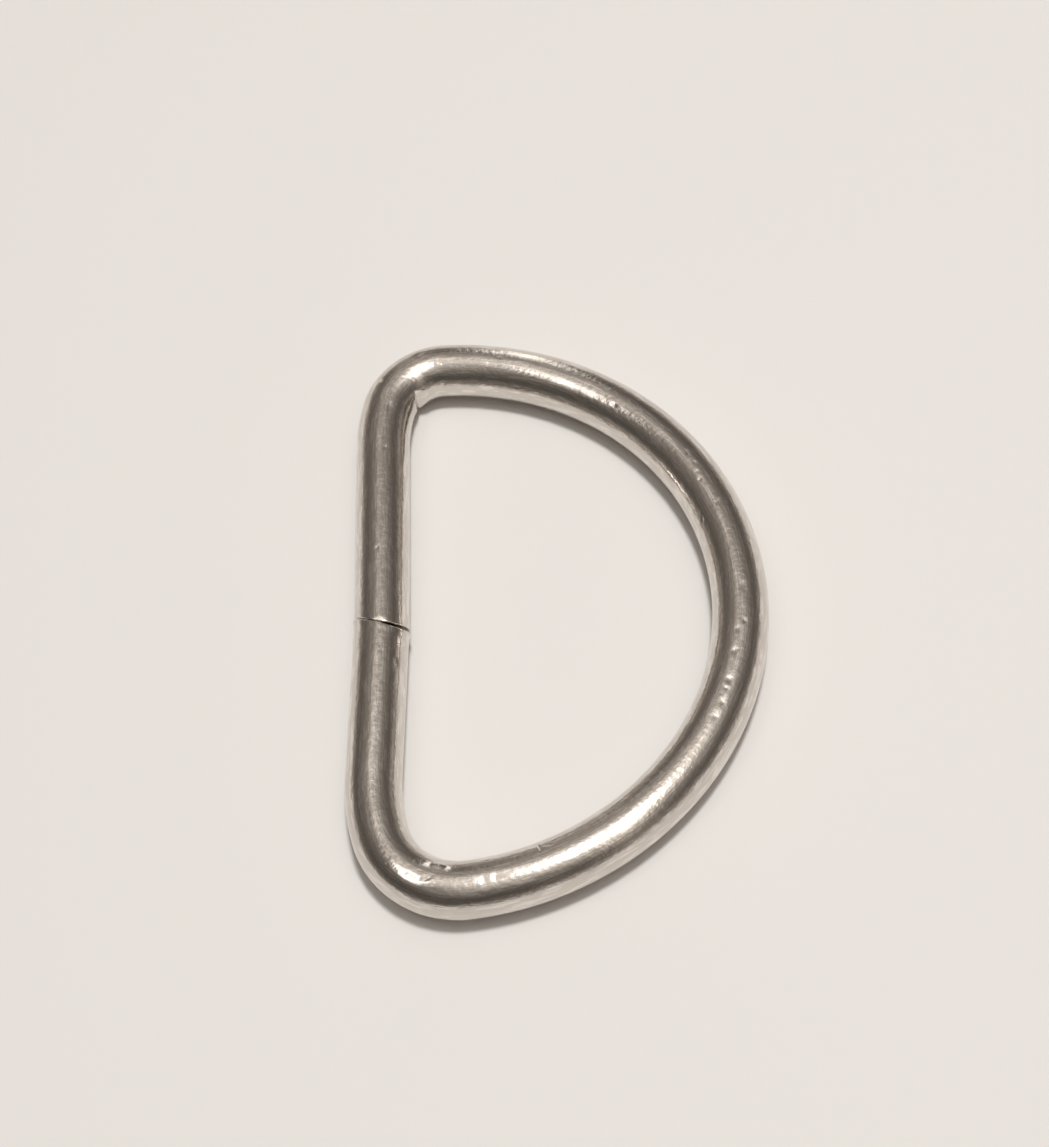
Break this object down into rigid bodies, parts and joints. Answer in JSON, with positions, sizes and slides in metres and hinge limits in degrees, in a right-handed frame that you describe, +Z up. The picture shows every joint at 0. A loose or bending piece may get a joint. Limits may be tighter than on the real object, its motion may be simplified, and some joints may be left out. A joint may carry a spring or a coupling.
{
  "type": "d-ring",
  "caption": "Flat D-shaped ring bent from round steel wire with a butt joint in its straight bar, holding a webbing strap on the bar and a hook or second strap on the bow",
  "frame": {"origin": "under the middle of the ring's outer box, on the surface it lies on", "axes": "+X from the straight bar towards the bow's crown, +Y along the bar towards the tighter corner, +Z up through the wire's thickness"},
  "size_m": [0.03, 0.047, 0.004],
  "materials": {
    "nickel_plated_steel": "bright nickel plating over drawn steel wire, with fine lengthwise drawing lines, small pits and tooling dents"
  },
  "bodies": {
    "root": {"ring_wire": "nickel_plated_steel"}
  },
  "joints": []
}
